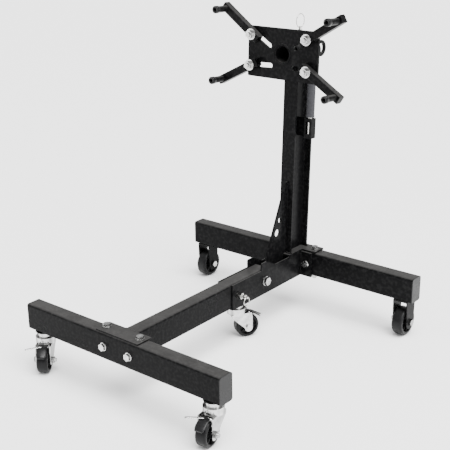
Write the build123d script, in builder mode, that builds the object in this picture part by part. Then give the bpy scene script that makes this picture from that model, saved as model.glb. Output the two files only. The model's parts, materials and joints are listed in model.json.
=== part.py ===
from build123d import *
import os
from math import atan2, cos, degrees, radians, sin, sqrt

# Folding engine stand. Millimetres. +X to the right of somebody facing the mounting plate from
# the front, +Y from the front beam to the mast, +Z up. The wheels stand on Z = 0, and the origin
# is on the floor under the middle of the overall length.

os.makedirs("parts", exist_ok=True)

# ---- driving dimensions -------------------------------------------------------------------

# General clearances
bolt_clearance = 0.4          # radial, round a bolt in its drilled hole
seat_gap = 0.05               # between two clamped pieces of one stack
running_fit = 0.06            # radial, shaft in a bore that turns or slides on it
slip_gap = 0.5                # each side, between sheet-metal pieces that move past each other
drill_over = 1.0              # how far a hole's cutter starts outside its piece

# Base beams and main leg, all from one rectangular tube
tube_width = 50.0
tube_height = 80.0
tube_wall = 2.5
tube_corner = 7.0
front_beam_length = 722.0
rear_beam_length = 875.0
front_face_y = -465.9         # front face of the front beam
beam_pitch = 837.5            # front beam face to rear beam face
cap_thickness = 3.0
cap_plug_depth = 12.0
cap_wall = 3.0

# Main leg joint to the front beam
tee_plate_width = 160.0
tee_plate_thickness = 4.0
tee_plate_lap = 8.0           # how far the tee plate runs back over the leg
tee_plate_inset = 4.0         # front beam's front face to the tee plate's edge
tee_bolt_x = 63.0
tee_bolt_setback = 31.0       # front beam's front face to the tee bolts
flange_corner = 3.0
leg_flange_width = 140.0
leg_flange_thickness = 6.0
face_bolt_x = 48.0

# Channel that holds the folding leg
channel_wall = 3.5
channel_length = 368.6        # channel's front end to the rear beam's face
channel_floor_thickness = 3.5
channel_drop = 1.0            # leg's top to the channel wall's top
floor_front_length = 116.0    # floor under the leg, in front of the pivot
pivot_setback = 166.0         # channel front end to the fold pivot
pivot_radius = 8.0
leg_tail = 15.0               # leg tube beyond the pivot
tail_swing_gap = 6.0          # room behind the leg's tail as it swings
ear_lead = 20.0               # ear on the channel wall, ahead of the pivot
ear_top_length = 26.0
ear_length = 75.0
ear_rise = 24.0
ear_corner = 6.0
channel_flange_width = 140.0
channel_flange_thickness = 8.0
flange_bolt_x = 50.0

# Mast
mast_lean = 2.5               # degrees, towards the rear
mast_front_setback = 60.5     # rear beam face to the mast's front face, at its foot
mast_width = 48.0
mast_depth = 95.5
mast_flange = 6.0
mast_web = 6.0
mast_root = 5.0               # fillet between web and flange
mast_skirt = 12.0             # extra length below the foot, cut off level with the base plate
base_plate_thickness = 6.0
base_plate_width = 160.0
base_plate_toe = 12.0         # base plate ahead of the mast
base_bolt_x = 63.0
gusset_thickness = 7.0
gusset_height = 240.0
gusset_reach = 105.0
gusset_nose = 8.0
gusset_hole_radii = (13.0, 10.0)
gusset_hole_heights = (80.0, 120.0)
gusset_hole_margin = 10.0

# Head
head_rise = 649.5             # base plate to the head axis, along the mast
head_tube_radius = 30.0
head_tube_wall = 5.0
head_sleeve_wall = 6.5
sleeve_front = 18.0           # ahead of the mast's front face
sleeve_rear = 104.0           # behind the mast's front face
plate_front = 50.0            # plate's front face ahead of the mast's front face
plate_thickness = 8.0
plate_width = 260.0
plate_height = 155.0
plate_corner = 5.0
tail_cap_lip = 4.0            # tail cap's radius beyond the head tube
tail_cap_thickness = 6.0
tail_neck_radius = 12.0
tail_neck_length = 24.0       # tail cap to the eye
eye_hole_radius = 16.0
eye_bar = 10.0                # section of the eye's ring
eye_corner = 2.5
eye_weld = 2.0                # how far the eye sinks into the tail cap
slot_width = 15.0
upper_bolt = (102.0, 54.0)
upper_slot_run = (-54.0, -32.0)
lower_bolt = (105.0, -40.0)
lower_slot_run = (-62.0, 2.0)
slot_outer_run = 6.0          # slot beyond the bolt's place, outwards

# Arms
arm_side = 25.0
arm_wall = 3.0
arm_corner = 3.0
arm_inner = 26.0              # bolt to the arm's inner end
arm_reach = 121.0             # bolt to the finger's axis
arm_tip = 16.0                # finger's axis to the arm's end
finger_radius = 10.0
finger_bore = 5.5
finger_length = 55.0          # ahead of the arm's front face
finger_chamfer = 2.0
arm_bolt_radius = 7.0
upper_left_angle = 145.0
upper_right_angle = 31.0
lower_left_angle = 207.0
lower_right_angle = -31.0

# Pull pins
pin_radius = 5.0
pin_travel = 9.0
pin_standoff = 1.2            # tip of the released pin to the piece that it locks
pin_collar_radius = 7.0
pin_collar_length = 3.0
pin_neck_radius = 3.8
pin_neck_end = 4.0            # cross hole's axis to the neck's end
pin_knob_gap = 1.0            # collar to its housing when the pin is home
pin_housing_radius = 9.0
housing_chamfer = 1.5
housing_weld = 2.0            # how far the index housing starts below the sleeve's outside
lock_pin_setback = 27.0       # channel front end to the leg lock pin
lock_housing_length = 16.0
index_pin_setback = 40.0      # mast's front face to the index pin
index_housing_length = 20.0
index_hole_count = 8
ring_wire = 1.3
ring_hole_slack = 0.9         # radial, wire in the pin's cross hole
lock_eye_offset = 4.0         # pin's collar to its cross hole
index_eye_offset = 5.0
lock_ring_radius = 13.0
index_ring_radius = 21.0

# Turning bar and its socket
bar_radius = 8.0
bar_length = 205.0
grip_radius = 14.0
grip_length = 150.0
grip_gap = 4.0                # socket's mouth to the grip
grip_cap = 4.0
grip_rounding = 3.0
bar_x = 54.0
bar_setback = 36.0            # mast's front face to the bar's axis
socket_side = 28.0
socket_wall = 3.0
socket_height = 60.0
socket_rise = 388.0           # base plate to the socket's foot, along the mast
socket_window = (13.0, 40.0)
window_corner = 3.0

# Swivel casters
caster_wheel_radius = 38.0
caster_wheel_width = 33.0
caster_trail = 32.0
caster_plate_radius = 25.0
caster_ring_radius = 22.0
caster_cup_radius = 29.0
caster_fork_gap = 40.0
caster_sheet = 3.0
caster_plate_thickness = 4.0
caster_cup_height = 20.0
caster_mount_height = 18.0    # bearing cup's top to the underside of a beam
caster_cheek_end = 13.0       # cheek beyond the axle, and its rounding
caster_axle_drop = 4.0        # wheel's middle to the cheek's rounding
caster_wheel_clear = 6.0      # wheel's tread to the fork's crown
caster_heel_share = 0.8       # cheek's heel against the bearing cup's radius
caster_heel_drop = 8.0        # crown to the cheek's lower corner at the heel
caster_nose_drop = 14.0       # crown to the cheek's corner at the nose
caster_nose_reach = 10.0      # cheek's top beyond the wheel's middle
kingpin_radius = 6.0
kingpin_head_radius = 9.0
kingpin_head_height = 2.5
wheel_rim_share = 0.72        # rim's recess against the wheel's radius
wheel_web_share = 0.25        # web's half thickness against the wheel's width
wheel_hub_wall = 6.0
wheel_edge = 4.0              # bevel at each edge of the tread
hub_gap = 0.8                 # each side of a wheel's hub
pedal_setback = 5.0           # wheel's middle to the pedal's pin, along the trail
pedal_pin_radius = 3.0
pedal_barrel_radius = 4.5
pedal_width = 30.0
pedal_run = (38.0, -16.0)     # pin to the pedal's tip, outwards and up
pedal_bend = 12.0             # flat part of the pedal, from its pin
pedal_thickness = 5.0
pedal_rise = 3.0              # pin's middle to the pedal's flat top
pedal_drop = 1.0              # fork's crown to the pedal's pin
pedal_slope = 2.0             # how far the pedal's underside is set back at its bends
lever_thickness = 2.0
lever_reach = 48.0            # lever's tip beside the wheel's middle
lever_width = 9.0
lever_run = 23.0
lever_inset = 2.0
front_caster_inset = 39.0     # beam end to the swivel axis
middle_caster_setback = 55.0  # channel front end to the swivel axis
left_trail_angle = -55.0
right_trail_angle = -82.0
middle_trail_angle = 60.0

# Fixed rear wheels
rear_wheel_radius = 45.0
rear_wheel_width = 36.0
rear_fork_gap = 43.0
rear_fork_sheet = 3.5
rear_fork_top_length = 50.0
rear_fork_foot_radius = 22.0
rear_wheel_inset = 37.0       # beam end to the wheel's middle

# Fasteners: shank radius, across flats, head height, washer radius
m12 = (6.0, 19.0, 7.5, 12.0)
m14 = (7.0, 22.0, 9.0, 17.0)
m16 = (8.0, 24.0, 10.0, 15.0)
m10 = (5.0, 16.0, 6.4, 10.0)
washer_thickness = 2.5
nut_share = 1.2               # nut's height against its bolt's head
thread_stub = 5.0             # shank that shows beyond its nut

# ---- derived places -----------------------------------------------------------------------

crown_z = 2 * caster_wheel_radius + caster_wheel_clear
cup_top_z = crown_z + caster_cup_height
beam_floor_gap = cup_top_z + caster_mount_height
beam_top_z = beam_floor_gap + tube_height
beam_mid_z = beam_floor_gap + tube_height / 2
front_mid_y = front_face_y + tube_width / 2
front_back_y = front_face_y + tube_width
rear_face_y = front_face_y + beam_pitch
rear_mid_y = rear_face_y + tube_width / 2
rear_back_y = rear_face_y + tube_width
leg_front_y = front_back_y + leg_flange_thickness
channel_front_y = rear_face_y - channel_length
pivot_y = channel_front_y + pivot_setback
leg_back_y = pivot_y + leg_tail
channel_inner_x = tube_width / 2 + slip_gap
channel_outer_x = channel_inner_x + channel_wall
channel_bottom_z = beam_floor_gap - channel_floor_thickness
channel_top_z = beam_top_z - channel_drop
leg_tail_radius = sqrt(leg_tail**2 + (tube_height / 2) ** 2)
floor_rear_y = pivot_y + leg_tail_radius + tail_swing_gap
channel_back_y = rear_face_y - channel_flange_thickness

lean = radians(mast_lean)
up_mast = Vector(0, sin(lean), cos(lean))
ahead = Vector(0, -cos(lean), sin(lean))
mast_foot = Vector(0, rear_face_y - mast_front_setback, beam_top_z + base_plate_thickness)
# Mast plane: X across, Y towards the front, Z up the mast
mast_plane = Plane(origin=mast_foot, x_dir=(-1, 0, 0), z_dir=up_mast)
head_point = mast_foot + up_mast * head_rise
# Head plane: lies on the mast's front face, X across, Y up, Z towards the engine
head_plane = Plane(origin=head_point, x_dir=(1, 0, 0), z_dir=ahead)
sleeve_inner = head_tube_radius + running_fit
tail_cap_radius = head_tube_radius + tail_cap_lip
sleeve_outer = sleeve_inner + head_sleeve_wall
plate_back = plate_front - plate_thickness
arm_front = plate_front + arm_side


# ---- helpers ------------------------------------------------------------------------------


def save(piece, name):
    """Label a finished piece and write it as its own STEP file."""
    piece.label = name
    export_step(piece, f"parts/{name}.step")


def tube(plane, centre, width, height, wall, corner, length):
    """Rounded rectangular tube, its section drawn about a point of the plane."""
    with BuildSketch(plane) as section:
        with Locations(centre):
            RectangleRounded(width, height, corner)
            RectangleRounded(width - 2 * wall, height - 2 * wall, corner - wall, mode=Mode.SUBTRACT)
    extrude(section.sketch, amount=length)


def disc(plane, radius, length, bore=0.0, mode=Mode.ADD):
    """Cylinder or ring standing on a plane."""
    with BuildSketch(plane) as section:
        Circle(radius)
        if bore > 0:
            Circle(bore, mode=Mode.SUBTRACT)
    extrude(section.sketch, amount=length, mode=mode)


def drill(plane, radius, depth):
    """Round hole that runs from a plane against its normal."""
    disc(plane.offset(-depth), radius, depth, mode=Mode.SUBTRACT)


def hexagon(plane, flats, height, bore=0.0):
    """Hexagon standing on a plane."""
    with BuildSketch(plane) as section:
        RegularPolygon(flats / 2, 6, major_radius=False)
        if bore > 0:
            Circle(bore, mode=Mode.SUBTRACT)
    extrude(section.sketch, amount=height)


def fastener(seat, grip, size, washers=True, nut=True, stub=thread_stub):
    """Hex bolt through a grip, its head above the seat plane, with washers and a nut."""
    shank, flats, head, washer = size
    lift = washer_thickness + 2 * seat_gap if washers else seat_gap
    hexagon(seat.offset(lift), flats, head)
    nut_height = head * nut_share
    reach = grip + lift + nut_height + stub if nut else grip
    disc(seat.offset(-reach), shank, reach + lift)
    if washers:
        disc(seat.offset(seat_gap), washer, washer_thickness, shank + bolt_clearance)
    if nut:
        if washers:
            disc(seat.offset(-grip - seat_gap - washer_thickness), washer, washer_thickness,
                 shank + bolt_clearance)
        hexagon(seat.offset(-grip - lift - nut_height), flats, nut_height, shank + seat_gap)


# ---- front beam ---------------------------------------------------------------------------

tee_seat_z = beam_top_z + tee_plate_thickness
tee_bolt_seats = [
    Plane(origin=(x, front_face_y + tee_bolt_setback, tee_seat_z), z_dir=(0, 0, 1))
    for x in (-tee_bolt_x, tee_bolt_x)
]
face_bolt_seats = [
    Plane(origin=(x, front_face_y, beam_mid_z), z_dir=(0, -1, 0)) for x in (-face_bolt_x, face_bolt_x)
]

with BuildPart() as front_beam:
    tube(Plane.YZ.offset(-front_beam_length / 2), (front_mid_y, beam_mid_z),
         tube_width, tube_height, tube_wall, tube_corner, front_beam_length)
    for seat in tee_bolt_seats:
        drill(seat, m12[0] + bolt_clearance, tube_height + tee_plate_thickness + drill_over)
    for seat in face_bolt_seats:
        drill(seat.offset(drill_over), m12[0] + bolt_clearance, tube_width + 2 * drill_over)
save(front_beam.part, "front_beam")


def end_caps(length, mid_y):
    """Pressed plugs that close both ends of a beam."""
    skirt_width = tube_width - 2 * (tube_wall + seat_gap)
    skirt_height = tube_height - 2 * (tube_wall + seat_gap)
    skirt_corner = tube_corner - tube_wall
    for side in (-1, 1):
        outer = Plane(origin=(side * (length / 2 + cap_thickness), mid_y, beam_mid_z),
                      x_dir=(0, 1, 0), z_dir=(-side, 0, 0))
        with BuildSketch(outer) as face:
            RectangleRounded(tube_width, tube_height, tube_corner)
        extrude(face.sketch, amount=cap_thickness - seat_gap)
        tube(outer.offset(cap_thickness - seat_gap), (0, 0), skirt_width, skirt_height,
             cap_wall, skirt_corner, cap_plug_depth)


with BuildPart() as front_beam_caps:
    end_caps(front_beam_length, front_mid_y)
save(front_beam_caps.part, "front_beam_caps")

with BuildPart() as tee_plate:
    tee_depth = tube_width + tee_plate_lap - tee_plate_inset
    with BuildSketch(Plane.XY.offset(beam_top_z)):
        with Locations((0, front_face_y + tee_plate_inset + tee_depth / 2)):
            RectangleRounded(tee_plate_width, tee_depth, flange_corner)
    extrude(amount=tee_plate_thickness)
    for seat in tee_bolt_seats:
        drill(seat, m12[0] + bolt_clearance, tee_plate_thickness)
save(tee_plate.part, "tee_plate")

with BuildPart() as leg_flange:
    with BuildSketch(Plane.XZ.offset(-front_back_y)):
        with Locations((0, beam_mid_z)):
            RectangleRounded(leg_flange_width, tube_height, flange_corner)
    extrude(amount=-leg_flange_thickness)
    for seat in face_bolt_seats:
        drill(seat.offset(1), m12[0] + bolt_clearance, tube_width + leg_flange_thickness + 2)
save(leg_flange.part, "leg_flange")

with BuildPart() as front_beam_bolts:
    for seat in tee_bolt_seats:
        fastener(seat, tube_height + tee_plate_thickness, m12)
    for seat in face_bolt_seats:
        fastener(seat, tube_width + leg_flange_thickness, m12)
save(front_beam_bolts.part, "front_beam_bolts")

# ---- main leg -----------------------------------------------------------------------------

lock_pin_y = channel_front_y + lock_pin_setback
lock_axis = Plane(origin=(0, lock_pin_y, beam_mid_z), x_dir=(0, 1, 0), z_dir=(1, 0, 0))
pivot_axis = Plane(origin=(0, pivot_y, beam_mid_z), x_dir=(0, 1, 0), z_dir=(1, 0, 0))

with BuildPart() as leg_tube:
    tube(Plane.XZ.offset(-leg_back_y), (0, beam_mid_z), tube_width, tube_height,
         tube_wall, tube_corner, leg_back_y - leg_front_y)
    drill(pivot_axis.offset(tube_width), pivot_radius + running_fit, 2 * tube_width)
    drill(lock_axis.offset(tube_width), pin_radius + bolt_clearance, tube_width)
save(leg_tube.part, "leg_tube")

# ---- channel ------------------------------------------------------------------------------

flange_bolt_seats = [
    Plane(origin=(x, channel_back_y, beam_mid_z), z_dir=(0, -1, 0))
    for x in (-flange_bolt_x, flange_bolt_x)
]
base_toe_y = mast_foot.Y - base_plate_toe

with BuildPart() as leg_channel:
    for side in (-1, 1):
        with BuildSketch(Plane.YZ.offset(side * (channel_inner_x + channel_wall / 2))):
            with BuildLine():
                ear_y = pivot_y - ear_lead
                Polyline(
                    (channel_front_y, channel_bottom_z),
                    (channel_front_y, channel_top_z),
                    (ear_y, channel_top_z),
                    (ear_y, beam_top_z + ear_rise),
                    (ear_y + ear_top_length, beam_top_z + ear_rise),
                    (ear_y + ear_length, channel_top_z),
                    (base_toe_y - slip_gap, channel_top_z),
                    (base_toe_y - slip_gap, beam_top_z),
                    (channel_back_y, beam_top_z),
                    (channel_back_y, channel_bottom_z),
                    close=True,
                )
            make_face()
        extrude(amount=channel_wall / 2, both=True)
    floor_runs = (
        (channel_front_y, channel_front_y + floor_front_length),
        (floor_rear_y, channel_back_y),
    )
    for start, end in floor_runs:
        with BuildSketch(Plane.XY.offset(channel_bottom_z)):
            with Locations((0, (start + end) / 2)):
                Rectangle(2 * channel_inner_x, end - start)
        extrude(amount=channel_floor_thickness)
    with BuildSketch(Plane.XZ.offset(-channel_back_y)):
        with Locations((0, (channel_bottom_z + beam_top_z) / 2)):
            Rectangle(channel_flange_width, beam_top_z - channel_bottom_z)
    extrude(amount=-channel_flange_thickness)
    for seat in flange_bolt_seats:
        drill(seat.offset(drill_over), m12[0] + bolt_clearance,
              channel_flange_thickness + 2 * drill_over)
    channel_side = channel_outer_x + drill_over
    drill(pivot_axis.offset(channel_side), pivot_radius + running_fit, 2 * channel_side)
    drill(lock_axis.offset(channel_side), pin_radius + running_fit, channel_wall + 2 * drill_over)
    ear_corners = leg_channel.edges().filter_by(Axis.X).group_by(Axis.Z)[-1]
    fillet(ear_corners, ear_corner)
save(leg_channel.part, "leg_channel")

with BuildPart() as pivot_bolt:
    fastener(pivot_axis.offset(channel_outer_x), 2 * channel_outer_x, m16)
save(pivot_bolt.part, "pivot_bolt")

# ---- rear beam ----------------------------------------------------------------------------

base_seat_z = beam_top_z + base_plate_thickness
base_bolt_seats = [
    Plane(origin=(x, rear_mid_y, base_seat_z), z_dir=(0, 0, 1)) for x in (-base_bolt_x, base_bolt_x)
]

with BuildPart() as rear_beam:
    tube(Plane.YZ.offset(-rear_beam_length / 2), (rear_mid_y, beam_mid_z),
         tube_width, tube_height, tube_wall, tube_corner, rear_beam_length)
    for seat in base_bolt_seats:
        drill(seat, m12[0] + bolt_clearance, tube_height + base_plate_thickness + drill_over)
    for seat in flange_bolt_seats:
        drill(seat, m12[0] + bolt_clearance, tube_width + channel_flange_thickness + drill_over)
save(rear_beam.part, "rear_beam")

with BuildPart() as rear_beam_caps:
    end_caps(rear_beam_length, rear_mid_y)
save(rear_beam_caps.part, "rear_beam_caps")

with BuildPart() as mast_base_plate:
    with BuildSketch(Plane.XY.offset(beam_top_z)):
        with Locations((0, (base_toe_y + rear_back_y) / 2)):
            Rectangle(2 * channel_outer_x, rear_back_y - base_toe_y)
        with Locations((0, rear_mid_y)):
            Rectangle(base_plate_width, tube_width)
    extrude(amount=base_plate_thickness)
    for seat in base_bolt_seats:
        drill(seat, m12[0] + bolt_clearance, base_plate_thickness)
save(mast_base_plate.part, "mast_base_plate")

with BuildPart() as rear_beam_bolts:
    for seat in base_bolt_seats:
        fastener(seat, tube_height + base_plate_thickness, m12)
    for seat in flange_bolt_seats:
        fastener(seat, tube_width + channel_flange_thickness, m12)
save(rear_beam_bolts.part, "rear_beam_bolts")

# ---- mast ---------------------------------------------------------------------------------

with BuildPart() as mast:
    with BuildSketch(mast_plane.offset(-mast_skirt)):
        with Locations((0, -mast_depth / 2)):
            Rectangle(mast_width, mast_depth)
            with Locations((-(mast_width + mast_web) / 4, 0), ((mast_width + mast_web) / 4, 0)):
                RectangleRounded((mast_width - mast_web) / 2 + mast_root, mast_depth - 2 * mast_flange,
                                 mast_root, mode=Mode.SUBTRACT)
            Rectangle(mast_web, mast_depth)
    extrude(amount=head_rise + mast_skirt)
    split(bisect_by=Plane.XY.offset(base_seat_z), keep=Keep.TOP)
    disc(head_plane.offset(-sleeve_rear), sleeve_outer, sleeve_rear + sleeve_front, mode=Mode.SUBTRACT)
save(mast.part, "mast")

gusset_front_y = mast_foot.Y - gusset_reach
with BuildPart() as gusset:
    with BuildSketch(Plane.YZ):
        with BuildLine():
            slope_top = mast_foot + up_mast * gusset_height
            Polyline(
                (floor_rear_y, beam_floor_gap),
                (floor_rear_y, beam_top_z),
                (gusset_front_y, beam_top_z),
                (gusset_front_y, base_seat_z),
                (slope_top.Y - gusset_nose, slope_top.Z),
                (slope_top.Y, slope_top.Z),
                (mast_foot.Y, mast_foot.Z),
                (base_toe_y - slip_gap, mast_foot.Z),
                (base_toe_y - slip_gap, beam_floor_gap),
                close=True,
            )
        make_face()
        run = gusset_reach + slope_top.Y - mast_foot.Y - gusset_nose
        slope = run / (slope_top.Z - base_seat_z)
        lean_length = sqrt(1 + slope**2)
        for radius, height in zip(gusset_hole_radii, gusset_hole_heights):
            edge_y = gusset_front_y + slope * height
            with Locations((edge_y + (radius + gusset_hole_margin) * lean_length, base_seat_z + height)):
                Circle(radius, mode=Mode.SUBTRACT)
    extrude(amount=gusset_thickness / 2, both=True)
save(gusset.part, "gusset")

# ---- head sleeve and index pin --------------------------------------------------------------

index_point = head_plane.from_local_coords((0, 0, -index_pin_setback))
# Index plane: passes through the head axis, Z along the pin, away from the axis
index_plane = Plane(origin=index_point, x_dir=ahead, z_dir=up_mast)
housing_start = sqrt(sleeve_outer**2 - pin_housing_radius**2)

with BuildPart() as head_sleeve:
    disc(head_plane.offset(-sleeve_rear), sleeve_outer, sleeve_rear + sleeve_front, sleeve_inner)
    drill(index_plane.offset(sleeve_outer + drill_over), pin_radius + running_fit, sleeve_outer)
save(head_sleeve.part, "head_sleeve")

with BuildPart() as index_housing:
    disc(index_plane.offset(housing_start - housing_weld), pin_housing_radius,
         index_housing_length + housing_weld, pin_radius + running_fit)
    disc(head_plane.offset(-sleeve_rear), sleeve_outer + seat_gap, sleeve_rear + sleeve_front,
         mode=Mode.SUBTRACT)
    top_rim = index_housing.edges().group_by(Axis.Z)[-1].sort_by(SortBy.RADIUS)[-1]
    chamfer(top_rim, housing_chamfer)
save(index_housing.part, "index_pin_housing")


def pull_pin(plane, tip, knob_start, eye_offset):
    """Plunger with a turned head and a cross hole for its ring; returns the hole's place."""
    neck_start = knob_start + pin_collar_length
    disc(plane.offset(tip), pin_radius, knob_start - tip)
    disc(plane.offset(knob_start), pin_collar_radius, pin_collar_length)
    disc(plane.offset(neck_start), pin_neck_radius, eye_offset + pin_neck_end)
    hole = Plane(origin=plane.from_local_coords((0, 0, neck_start + eye_offset)),
                 x_dir=plane.z_dir, z_dir=plane.x_dir)
    drill(hole.offset(pin_radius), ring_wire + ring_hole_slack, 2 * pin_radius)
    return hole


index_tip = head_tube_radius + pin_standoff
index_knob = housing_start + index_housing_length + pin_travel + pin_knob_gap
with BuildPart() as index_pin:
    index_eye = pull_pin(index_plane, index_tip, index_knob, index_eye_offset)
save(index_pin.part, "index_pin")


def pull_ring(eye, outwards, radius):
    """Wire ring that passes through a pin's cross hole and stands to one side of it."""
    centre = eye.origin + outwards * radius
    far_side = Plane(origin=centre + outwards * radius, x_dir=outwards, z_dir=eye.z_dir)
    with BuildSketch(far_side) as wire:
        Circle(ring_wire)
    revolve(wire.sketch, axis=Axis(centre, (1, 0, 0)))


with BuildPart() as index_ring:
    pull_ring(index_eye, up_mast, index_ring_radius)
save(index_ring.part, "index_ring")

# ---- leg lock pin --------------------------------------------------------------------------

with BuildPart() as lock_housing:
    hexagon(lock_axis.offset(channel_outer_x), 2 * pin_housing_radius, lock_housing_length,
            pin_radius + running_fit)
save(lock_housing.part, "lock_pin_housing")

lock_tip = tube_width / 2 + pin_standoff
lock_knob = channel_outer_x + lock_housing_length + pin_travel + pin_knob_gap
with BuildPart() as lock_pin:
    lock_eye = pull_pin(lock_axis, lock_tip, lock_knob, lock_eye_offset)
save(lock_pin.part, "lock_pin")

with BuildPart() as lock_ring:
    pull_ring(lock_eye, Vector(0, 0, -1), lock_ring_radius)
save(lock_ring.part, "lock_ring")

# ---- rotating head --------------------------------------------------------------------------

tail_start = sleeve_rear + running_fit + seat_gap
with BuildPart() as head_tube:
    disc(head_plane.offset(-tail_start), head_tube_radius, tail_start + plate_front,
         head_tube_radius - head_tube_wall)
    index_step = 360 / index_hole_count
    for index in range(index_hole_count):
        turn = radians(90 + index * index_step)
        outwards = head_plane.x_dir * cos(turn) + up_mast * sin(turn)
        drill(Plane(origin=index_point, z_dir=outwards).offset(head_tube_radius + drill_over),
              pin_radius + bolt_clearance, 2 * head_tube_wall)
save(head_tube.part, "head_tube")

eye_radius = eye_hole_radius + eye_bar
neck_end = tail_start + tail_cap_thickness + tail_neck_length
eye_setback = neck_end + eye_radius - eye_weld
with BuildPart() as tail_eye:
    disc(head_plane.offset(-tail_start - tail_cap_thickness), tail_cap_radius, tail_cap_thickness)
    disc(head_plane.offset(-neck_end), tail_neck_radius, tail_neck_length)
    eye_centre = head_plane.from_local_coords((0, 0, -eye_setback))
    with BuildSketch(Plane(origin=eye_centre, x_dir=up_mast, z_dir=ahead)):
        with Locations((eye_hole_radius + eye_bar / 2, 0)):
            RectangleRounded(eye_bar, eye_bar, eye_corner)
    revolve(axis=Axis(eye_centre, (1, 0, 0)))
save(tail_eye.part, "tail_eye")


def mirrored(place, side):
    """A point of the head plane on the left or the right of the axis."""
    return Vector(side * place[0], place[1])


def slot_ends(place, run, side):
    """Both ends of a slot's middle line, from past the bolt's place inwards."""
    start = mirrored(place, side)
    travel = mirrored(run, side)
    return start - travel.normalized() * slot_outer_run, start + travel


arm_places = {
    "upper_left": (-1, upper_bolt, upper_slot_run, upper_left_angle),
    "upper_right": (1, upper_bolt, upper_slot_run, upper_right_angle),
    "lower_left": (-1, lower_bolt, lower_slot_run, lower_left_angle),
    "lower_right": (1, lower_bolt, lower_slot_run, lower_right_angle),
}

with BuildPart() as head_plate:
    with BuildSketch(head_plane.offset(plate_back)):
        RectangleRounded(plate_width, plate_height, plate_corner)
        Circle(head_tube_radius + seat_gap, mode=Mode.SUBTRACT)
        for side, place, run, angle in arm_places.values():
            first, last = slot_ends(place, run, side)
            middle = (first + last) * 0.5
            line = last - first
            slope = degrees(atan2(line.Y, line.X))
            with Locations((middle.X, middle.Y)):
                SlotCenterToCenter(line.length, slot_width, rotation=slope, mode=Mode.SUBTRACT)
    extrude(amount=plate_thickness)
save(head_plate.part, "head_plate")


def make_arm(name, side, place, angle):
    """One arm with its finger and its clamp bolt."""
    bolt = mirrored(place, side)
    turn = radians(angle)
    across = head_plane.x_dir * cos(turn) + up_mast * sin(turn)
    bolt_point = head_plane.from_local_coords((bolt.X, bolt.Y, plate_front))
    arm_length = arm_inner + arm_reach + arm_tip
    inner_end = bolt_point - across * arm_inner + ahead * (arm_side / 2)
    root = Plane(origin=inner_end, x_dir=ahead, z_dir=across)
    finger_point = bolt_point + across * arm_reach
    finger_plane = Plane(origin=finger_point, x_dir=across, z_dir=ahead)
    bolt_plane = Plane(origin=bolt_point, x_dir=across, z_dir=ahead)

    with BuildPart() as arm:
        with BuildSketch(root) as outside:
            RectangleRounded(arm_side, arm_side, arm_corner)
        extrude(outside.sketch, amount=arm_length)
        with BuildSketch(root) as inside:
            cavity = arm_side - 2 * arm_wall
            RectangleRounded(cavity, cavity, arm_corner / 2)
        extrude(inside.sketch, amount=arm_length - arm_wall, mode=Mode.SUBTRACT)
        bore_length = arm_side + 2 * drill_over
        drill(bolt_plane.offset(arm_side + drill_over), arm_bolt_radius + running_fit, bore_length)
        drill(finger_plane.offset(arm_side + drill_over), finger_radius + seat_gap, bore_length)
    save(arm.part, f"arm_{name}")

    with BuildPart() as finger:
        disc(finger_plane, finger_radius, arm_side + finger_length, finger_bore)
        nose = finger.edges().filter_by(GeomType.CIRCLE).sort_by(Axis(finger_point, ahead))[-2:]
        chamfer(nose.sort_by(SortBy.RADIUS)[-1], finger_chamfer)
    save(finger.part, f"finger_{name}")

    with BuildPart() as arm_bolt:
        back_seat = Plane(origin=bolt_point - ahead * plate_thickness, x_dir=across, z_dir=-ahead)
        fastener(back_seat, plate_thickness + arm_side, m14)
    save(arm_bolt.part, f"arm_bolt_{name}")


for name, (side, place, run, angle) in arm_places.items():
    make_arm(name, side, place, angle)

# ---- turning bar ----------------------------------------------------------------------------

bar_foot = mast_plane.from_local_coords((-bar_x, -bar_setback, socket_rise))
bar_plane = Plane(origin=bar_foot, x_dir=(1, 0, 0), z_dir=up_mast)

with BuildPart() as bar_socket:
    with BuildSketch(bar_plane):
        RectangleRounded(socket_side, socket_side, socket_wall)
        hollow = socket_side - 2 * socket_wall
        RectangleRounded(hollow, hollow, socket_wall / 2, mode=Mode.SUBTRACT)
        strap = bar_x - socket_side / 2 - mast_web / 2
        with Locations((-(socket_side + strap) / 2, 0)):
            Rectangle(strap, socket_wall)
    extrude(amount=socket_height)
    with BuildSketch(bar_plane):
        RectangleRounded(socket_side, socket_side, socket_wall)
    extrude(amount=-socket_wall)
    window_centre = bar_plane.from_local_coords((0, -socket_side / 2, socket_height / 2))
    with BuildSketch(Plane(origin=window_centre, x_dir=(1, 0, 0), z_dir=ahead)):
        RectangleRounded(*socket_window, window_corner)
    extrude(amount=-2 * socket_wall, mode=Mode.SUBTRACT)
save(bar_socket.part, "bar_socket")

grip_start = socket_height + grip_gap
with BuildPart() as turning_bar:
    disc(bar_plane.offset(seat_gap), bar_radius, bar_length)
save(turning_bar.part, "turning_bar")

with BuildPart() as bar_grip:
    disc(bar_plane.offset(grip_start), grip_radius, grip_length, bar_radius + seat_gap)
    disc(bar_plane.offset(grip_start + grip_length), grip_radius, grip_cap)
    top_rim = bar_grip.edges().filter_by(GeomType.CIRCLE).sort_by(Axis(bar_foot, up_mast))[-1]
    fillet(top_rim, grip_rounding)
save(bar_grip.part, "bar_grip")


# ---- swivel casters -------------------------------------------------------------------------

pedal_reach = caster_trail + pedal_setback
pedal_z = crown_z - pedal_drop


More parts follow.
